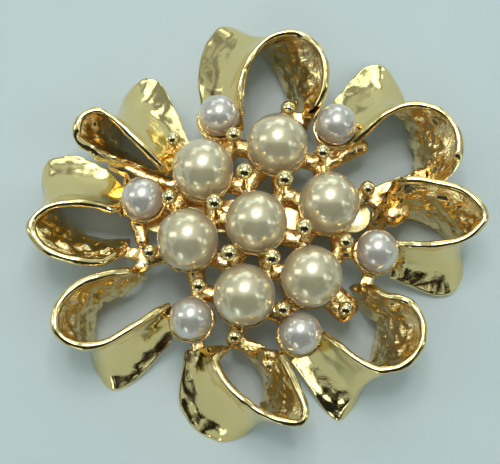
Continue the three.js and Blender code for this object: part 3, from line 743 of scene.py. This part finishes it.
def webs():  # what the even bars leave out: rounded junctions, solder at the loops' feet, flash
    height, runs = openwork["webZ"], []
    seats = [ballOf(node)[0] for node in [*largeNodes, *smallNodes]]
    for start in ("crown_bead", "pocket_bead", "rim_bead"):
        for node in nodesNamed(start):
            post = ballOf(node)[0]
            near = sorted(seats, key=lambda seat: (seat - post).xy.length)
            for seat in near[:1 if start == "rim_bead" else openwork["websPerPost"]]:
                towards = Vector((*post.xy.lerp(seat.xy, openwork["webReach"]), height))
                runs += ballRun(Vector((*post.xy, height)), towards, openwork["webRadius"],
                                openwork["webFlat"])
    for a, b, radius, rise in openwork["lumps"]:
        runs += ballRun(Vector((*a, rise)) * mm, Vector((*b, rise)) * mm, radius * mm,
                        openwork["lumpFlat"])
    unitPoints, unitFaces = ballPoints()
    points, faces = [], []
    for middle, radius, flat in runs:
        faces += [tuple(len(points) + k for k in face) for face in unitFaces]
        points += [tuple(p) for p in unitPoints * (radius, radius, radius * flat) + np.array(middle)]
    return meshFrom("webs", points, faces)


def openworkFrame():  # the solid's bars and the webs melted into one casting
    source = frame["nodes"]["openwork_frame"]
    form = bmesh.new()
    form.from_mesh(source.data)
    bmesh.ops.remove_doubles(form, verts=form.verts, dist=openwork["merge"])
    form.from_mesh(webs())
    obj = fromForm(form, "openworkCast")
    swell = obj.modifiers.new("swell", "DISPLACE")
    swell.strength, swell.mid_level = openwork["swell"], 0.0
    voxels = obj.modifiers.new("voxels", "REMESH")
    voxels.mode, voxels.voxel_size = "VOXEL", openwork["voxel"]
    soft = obj.modifiers.new("soft", "SMOOTH")
    soft.iterations = openwork["smooth"]
    obj = baked(obj, "openworkSoft")
    count = len(obj.data.vertices)
    for label, value in (("inside", 1.0), ("depth", openwork["castDepth"])):
        obj.data.attributes.new(label, "FLOAT", "POINT").data.foreach_set("value", [value] * count)
    texture = {name: openwork[name] for name in ("Wave", "Crumple", "Grain")}
    obj = cast(obj, "openworkCasting", openwork["seed"], castMaterial, **texture)
    cutBy(obj, room)
    done = baked(obj, "openworkFrame")
    largestIsland(done.data)
    place(done, "brooch", "frame_gold", "openwork_frame")
    print("openwork", len(done.data.polygons))


openworkFrame()
bpy.data.objects.remove(room)
bpy.data.objects.remove(ground)


pinFitting = {  # mm: the same sizes as the solids, with their edges rounded
    "edge": 0.08, "bevelSteps": 3,
    "barDepth": 4.0, "barThickness": 0.7, "barHole": 0.9, "holeSpacing": 8.0,
    "eye": 1.0, "eyeWidth": 1.4, "eyeHole": 0.55, "ear": 0.5, "earApart": 1.1, "saddle": 0.35,
    "rivet": 0.4, "rivetHead": 0.75, "rivetShank": 1.5, "rivetEnd": 1.85,
    "stem": 0.4, "stemStart": 0.775, "stemTaper": 5.0, "stemOver": 2.8,
    "barrelBore": 1.2, "barrel": 1.55, "collarBore": 0.65, "collar": 1.0, "catchLength": 2.6,
    "slot": 0.6, "window": 1.0, "windowTop": 0.15,
    "tabWidth": 0.7, "tabFrom": 0.8, "tabTo": 2.1, "tabThick": 0.5, "tabTurn": -20.0,
    "windowReach": 6.0, "headTurn": 1.4, "headSteps": 7, "tipThinner": 0.25, "taperSteps": 16,
    "sides": 40, "slotSteps": 64, "sharpAngle": 40, "merge": 0.001,
}
barLow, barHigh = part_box("pin_bar")
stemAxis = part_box("hinge_rivet")
hingeSpot = (stemAxis[0] + stemAxis[1]) / 2
catchSpot = (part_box("catch_barrel")[0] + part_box("catch_barrel")[1]) / 2
catchSpot = Vector((catchSpot.x, hingeSpot.y, hingeSpot.z))
facingZ = Matrix.Identity(3)
facingY = Matrix(((1, 0, 0), (0, 0, -1), (0, 1, 0)))
facingX = Matrix(((0, 0, 1), (1, 0, 0), (0, 1, 0)))


def box(width, height):
    return [(-width / 2, -height / 2), (width / 2, -height / 2), (width / 2, height / 2),
            (-width / 2, height / 2)]


def plateMesh(outlines, thickness, turn, at):  # outlines in mm, the first one round the others
    edge = pinFitting["edge"]
    curve = bpy.data.curves.new("plate", "CURVE")
    curve.dimensions, curve.fill_mode = "2D", "BOTH"
    curve.extrude = thickness / 2 - edge
    curve.bevel_depth, curve.bevel_resolution = edge, pinFitting["bevelSteps"]
    curve.offset = -edge
    for outline in outlines:
        spline = curve.splines.new("POLY")
        spline.points.add(len(outline) - 1)
        for point, spot in zip(spline.points, outline):
            point.co = (*spot, 0, 1)
        spline.use_cyclic_u = True
    obj = bpy.data.objects.new("plate", curve)
    bpy.context.scene.collection.objects.link(obj)
    mesh = bpy.data.meshes.new_from_object(obj)
    bpy.data.objects.remove(obj)
    form = bmesh.new()
    form.from_mesh(mesh)
    bmesh.ops.remove_doubles(form, verts=form.verts, dist=pinFitting["merge"])
    bmesh.ops.scale(form, verts=form.verts, vec=(mm, mm, mm))
    bmesh.ops.transform(form, matrix=Matrix.Translation(at) @ turn.to_4x4(), verts=form.verts)
    bmesh.ops.recalc_face_normals(form, faces=form.faces)
    form.to_mesh(mesh)
    form.free()
    return mesh


def spun(profile, turn, at):
    mesh = turned("spun", [(r * mm, h * mm) for r, h in profile], pinFitting["sides"])
    mesh.transform(Matrix.Translation(at) @ turn.to_4x4())
    return mesh


def fitting(name, body, meshes, node):
    form = bmesh.new()
    for mesh in meshes:
        form.from_mesh(mesh)
    bmesh.ops.recalc_face_normals(form, faces=form.faces)
    obj = fromForm(form, name)
    obj.data.materials.append(pinMaterial)
    obj.data.set_sharp_from_angle(angle=math.radians(pinFitting["sharpAngle"]))
    place(obj, body, "pin_gold", node)


def slotted(bore, radius, opening):  # a C, open downwards, as seen along the pin
    def gap(r):
        return math.degrees(math.asin(opening / r))
    steps = pinFitting["slotSteps"]
    return [*arc((0, 0), radius, -90 + gap(radius), 270 - gap(radius), steps),
            *arc((0, 0), bore, 270 - gap(bore), -90 + gap(bore), steps)]


def pinFinding():
    f = pinFitting
    barMiddle = (barLow + barHigh) / 2
    half = (barHigh.x - barLow.x) / mm / 2 - f["barDepth"] / 2
    stadium = [*arc((half, 0), f["barDepth"] / 2, -90, 90), *arc((-half, 0), f["barDepth"] / 2, 90, 270)]
    holes = [circle((x, 0), f["barHole"]) for x in (-f["holeSpacing"], 0, f["holeSpacing"])]
    fitting("pinBar", "brooch", [plateMesh([stadium, *holes], f["barThickness"], facingZ, barMiddle)],
            "pin_bar")
    under = (barLow.z - hingeSpot.z) / mm
    ear = [(f["eye"], under), *arc((0, 0), f["eye"], 0, -180), (-f["eye"], under)]
    ears = [plateMesh([ear, circle((0, 0), f["eyeHole"])], f["ear"], facingY,
                      hingeSpot + Vector((0, way * f["earApart"] * mm, 0))) for way in (-1, 1)]
    saddleAt = Vector((0, 0, (under - f["saddle"] / 2) * mm))
    saddle = plateMesh([box(2 * f["eye"], 2 * f["earApart"])], f["saddle"], facingZ,
                       hingeSpot + saddleAt)
    fitting("hingeBracket", "brooch", [*ears, saddle], "hinge_bracket")
    shank, end, head = f["rivetShank"], f["rivetEnd"], f["rivetHead"]
    dome = [(head * math.cos(a), shank + (end - shank) * math.sin(a))
            for a in np.linspace(0, f["headTurn"], f["headSteps"])]
    profile = [(0, -end), *[(r, -h) for r, h in dome[::-1]], (f["rivet"], -shank),
               (f["rivet"], shank), *dome, (0, end)]
    fitting("hingeRivet", "brooch", [spun(profile, facingY, hingeSpot)], "hinge_rivet")
    reach = (catchSpot.x - hingeSpot.x) / mm + f["stemOver"]
    stem = [(0, f["stemStart"]), (f["stem"], f["stemStart"])]
    for share in np.linspace(0, 1, f["taperSteps"]):
        radius = f["stem"] * math.sqrt(1 - share ** 2) * (1 - f["tipThinner"] * share)
        stem.append((radius, reach - f["stemTaper"] * (1 - share)))
    eye = plateMesh([circle((0, 0), f["eye"]), circle((0, 0), f["eyeHole"])], f["eyeWidth"], facingY,
                    hingeSpot)
    fitting("pinStem", "stem", [spun(stem, facingX, hingeSpot), eye], "pin_stem")
    barrel = plateMesh([slotted(f["barrelBore"], f["barrel"], f["slot"])], f["catchLength"], facingX,
                       catchSpot)
    wide = f["windowReach"]
    window = blockTool("window", (f["window"] * mm, wide * mm, wide * mm),
                       catchSpot + Vector((0, 0, (f["windowTop"] - wide / 2) * mm)))
    cut = smoothObject("barrelCut", barrel)
    cutBy(cut, window)
    cut = baked(cut, "barrelCut")
    barrel = cut.data
    for obj in (window, cut):
        bpy.data.objects.remove(obj)
    saddle = plateMesh([box(f["catchLength"], 2 * f["collar"])], f["saddle"], facingZ,
                       catchSpot + saddleAt)
    fitting("catchBarrel", "brooch", [barrel, saddle], "catch_barrel")
    sleeve = plateMesh([slotted(f["collarBore"], f["collar"], f["slot"])], f["catchLength"], facingX,
                       catchSpot)
    tilt = Matrix.Rotation(math.radians(f["tabTurn"]), 3, "X")
    out = tilt @ Vector((0, (f["tabFrom"] + f["tabTo"]) / 2 * mm, 0))
    tab = plateMesh([box(f["tabWidth"], f["tabTo"] - f["tabFrom"])], f["tabThick"], tilt,
                    catchSpot + out)
    fitting("catchCollar", "collar", [sleeve, tab], "catch_collar")
    print("pin finding fitted")


pinFinding()

view = {
    "tilt": 12.0, "distance": 140 * mm, "aim": (-0.946 * mm, -2.754 * mm, 10.0 * mm),
    "lens": 89.7, "sensor": 36.0, "near": 1 * mm, "far": 10.0,
}
studio = {
    "floorHex": "#b5bfbf",
    "floorRoughness": 0.6,
    "floorSize": 4.0,
    "floorDrop": 0.02 * mm,
    "roomHex": "#c3d3d4",
    "darkHex": "#1d1610",
    "roomStrength": 0.84,
    "patchScale": 4.2,
    "glowScale": 4.5,
    "glowRarity": 0.85,
    "glowStrength": 3.8,
    "ringTilt": 18.0,
    "ringDistance": 0.5,
    "ringSide": 0.15,
    "ringStrip": 0.035,
    "ringPower": 0.24,
    "boxAt": (0.1, 0.45, 0.75),
    "boxSize": 0.5,
    "boxPower": 0.4,
    "windowAt": (-0.55, 0.1, 0.4),
    "windowSize": (0.16, 0.3),
    "windowPower": 0.35,
    "cardTilt": 41.0,
    "cardDistance": 0.5,
    "cardSize": (1.1, 0.56),
    "cardHex": "#17130f",
    "cardRoughness": 0.9,
    "patchFrom": 0.45, "patchTo": 0.5,  # where a patch of the noise turns dark
    "lowFrom": 0.45, "lowTo": 0.75,  # heights over which the furniture ends
    "northTo": 0.5, "northShare": 0.5,  # the north side has half of it
}


def floor():  # matt painted card: an even pale ground that takes a soft shadow
    half = studio["floorSize"] / 2
    mesh = meshFrom("floor", [(-half, -half, 0), (half, -half, 0), (half, half, 0), (-half, half, 0)],
                    [(0, 1, 2, 3)])
    obj = bpy.data.objects.new("floor", mesh)
    bpy.context.scene.collection.objects.link(obj)
    obj.location.z = -studio["floorDrop"]
    material = bpy.data.materials.new("paleCard")
    material.use_nodes = True
    shader = material.node_tree.nodes["Principled BSDF"]
    shader.inputs["Base Color"].default_value = colour(studio["floorHex"])
    shader.inputs["Roughness"].default_value = studio["floorRoughness"]
    mesh.materials.append(material)


def areaLight(name, at, aim, width, height, power):
    data = bpy.data.lights.new(name, "AREA")
    data.shape, data.size, data.size_y = "RECTANGLE", width, height
    data.energy = power
    obj = bpy.data.objects.new(name, data)
    bpy.context.scene.collection.objects.link(obj)
    obj.location = at
    obj.rotation_euler = (Vector(aim) - Vector(at)).to_track_quat("-Z", "Y").to_euler()


def onTilt(tilt, distance):  # a spot over the brooch, tilted north of upright, and its direction
    tilt = math.radians(tilt)
    away = Vector((0, math.sin(tilt), math.cos(tilt)))
    return Vector(view["aim"]) + away * distance, away


def ringLamp():  # four strips in a square, as a copy stand's lamp
    middle, away = onTilt(studio["ringTilt"], studio["ringDistance"])
    right = Vector((1, 0, 0))
    up = away.cross(right)
    side, strip = studio["ringSide"], studio["ringStrip"]
    for k, (shift, width, height) in enumerate((
            (up * (side / 2), side, strip), (up * (-side / 2), side, strip),
            (right * (side / 2), strip, side - strip), (right * (-side / 2), strip, side - strip))):
        at = middle + shift
        areaLight(f"ringLamp{k}", at, at - away, width, height, studio["ringPower"])


# Matt black card, seen only in reflections: it gives the gold its dark side, as a person would
def darkCard():
    middle, away = onTilt(-studio["cardTilt"], studio["cardDistance"])
    right = Vector((1, 0, 0)) * (studio["cardSize"][0] / 2)
    up = away.cross(Vector((1, 0, 0))) * (studio["cardSize"][1] / 2)
    mesh = meshFrom("darkCard", [middle - right - up, middle + right - up, middle + right + up,
                                 middle - right + up], [(0, 1, 2, 3)])
    obj = bpy.data.objects.new("darkCard", mesh)
    bpy.context.scene.collection.objects.link(obj)
    obj.visible_camera = False
    obj.visible_shadow = False
    obj.visible_diffuse = False
    material = bpy.data.materials.new("blackCard")
    material.use_nodes = True
    shader = material.node_tree.nodes["Principled BSDF"]
    shader.inputs["Base Color"].default_value = colour(studio["cardHex"])
    shader.inputs["Roughness"].default_value = studio["cardRoughness"]
    mesh.materials.append(material)


def world():  # an even pale room with dark furniture standing round it, low down
    sky = bpy.data.worlds.new("studioRoom")
    bpy.context.scene.world = sky
    sky.use_nodes = True
    tree = sky.node_tree
    tree.nodes.clear()
    way = addNode(tree, "ShaderNodeTexCoord").outputs["Generated"]
    axes = addNode(tree, "ShaderNodeSeparateXYZ", inputs={0: way}).outputs
    patches = addNode(tree, "ShaderNodeTexNoise", inputs={
        "Vector": way, "Scale": studio["patchScale"], "Detail": 3.0})
    patch = addNode(tree, "ShaderNodeMapRange", {"interpolation_type": "SMOOTHSTEP"}, {
        "Value": patches.outputs["Fac"], "From Min": studio["patchFrom"],
        "From Max": studio["patchTo"]})
    low = addNode(tree, "ShaderNodeMapRange", {"interpolation_type": "SMOOTHSTEP"}, {
        "Value": axes["Z"], "From Min": studio["lowFrom"], "From Max": studio["lowTo"],
        "To Min": 1.0, "To Max": 0.0})
    northward = addNode(tree, "ShaderNodeMapRange", {"interpolation_type": "SMOOTHSTEP"}, {
        "Value": axes["Y"], "From Min": 0.0, "From Max": studio["northTo"],
        "To Min": 1.0, "To Max": studio["northShare"]})
    dark = patch.outputs["Result"]
    for share in (low, northward):
        dark = addNode(tree, "ShaderNodeMath", {"operation": "MULTIPLY"}, {
            0: dark, 1: share.outputs["Result"]}).outputs["Value"]
    tone = addNode(tree, "ShaderNodeMix", {"data_type": "RGBA"}, {
        0: dark, 6: colour(studio["roomHex"]), 7: colour(studio["darkHex"])})
    panes = addNode(tree, "ShaderNodeTexVoronoi", inputs={"Vector": way, "Scale": studio["glowScale"]})
    pane = addNode(tree, "ShaderNodeSeparateXYZ", inputs={0: panes.outputs["Color"]})
    bright = addNode(tree, "ShaderNodeMath", {"operation": "GREATER_THAN"}, {
        0: pane.outputs["X"], 1: studio["glowRarity"]})
    strength = addNode(tree, "ShaderNodeMath", {"operation": "MULTIPLY_ADD"}, {
        0: bright.outputs["Value"], 1: studio["glowStrength"], 2: studio["roomStrength"]})
    plain = addNode(tree, "ShaderNodeBackground", inputs={
        "Color": colour(studio["roomHex"]), "Strength": studio["roomStrength"]})
    seen = addNode(tree, "ShaderNodeBackground", inputs={
        "Color": tone.outputs[2], "Strength": strength.outputs["Value"]})
    direct = addNode(tree, "ShaderNodeLightPath").outputs["Is Camera Ray"]
    mix = addNode(tree, "ShaderNodeMixShader", inputs={
        0: direct, 1: seen.outputs["Background"], 2: plain.outputs["Background"]})
    addNode(tree, "ShaderNodeOutputWorld", inputs={"Surface": mix.outputs["Shader"]})


def camera():
    data = bpy.data.cameras.new("camera")
    data.lens, data.sensor_width = view["lens"], view["sensor"]
    data.clip_start, data.clip_end = view["near"], view["far"]
    obj = bpy.data.objects.new("camera", data)
    bpy.context.scene.collection.objects.link(obj)
    tilt = math.radians(view["tilt"])
    aim = Vector(view["aim"])
    obj.location = aim + view["distance"] * Vector((0, -math.sin(tilt), math.cos(tilt)))
    obj.rotation_euler = (tilt, 0, 0)
    bpy.context.scene.camera = obj


floor()
darkCard()
ringLamp()
world()
areaLight("softBox", studio["boxAt"], view["aim"], studio["boxSize"], studio["boxSize"],
          studio["boxPower"])
areaLight("window", studio["windowAt"], view["aim"], *studio["windowSize"], studio["windowPower"])
camera()
bpy.context.scene.view_settings.view_transform = "Standard"
print("floor, light and camera set")
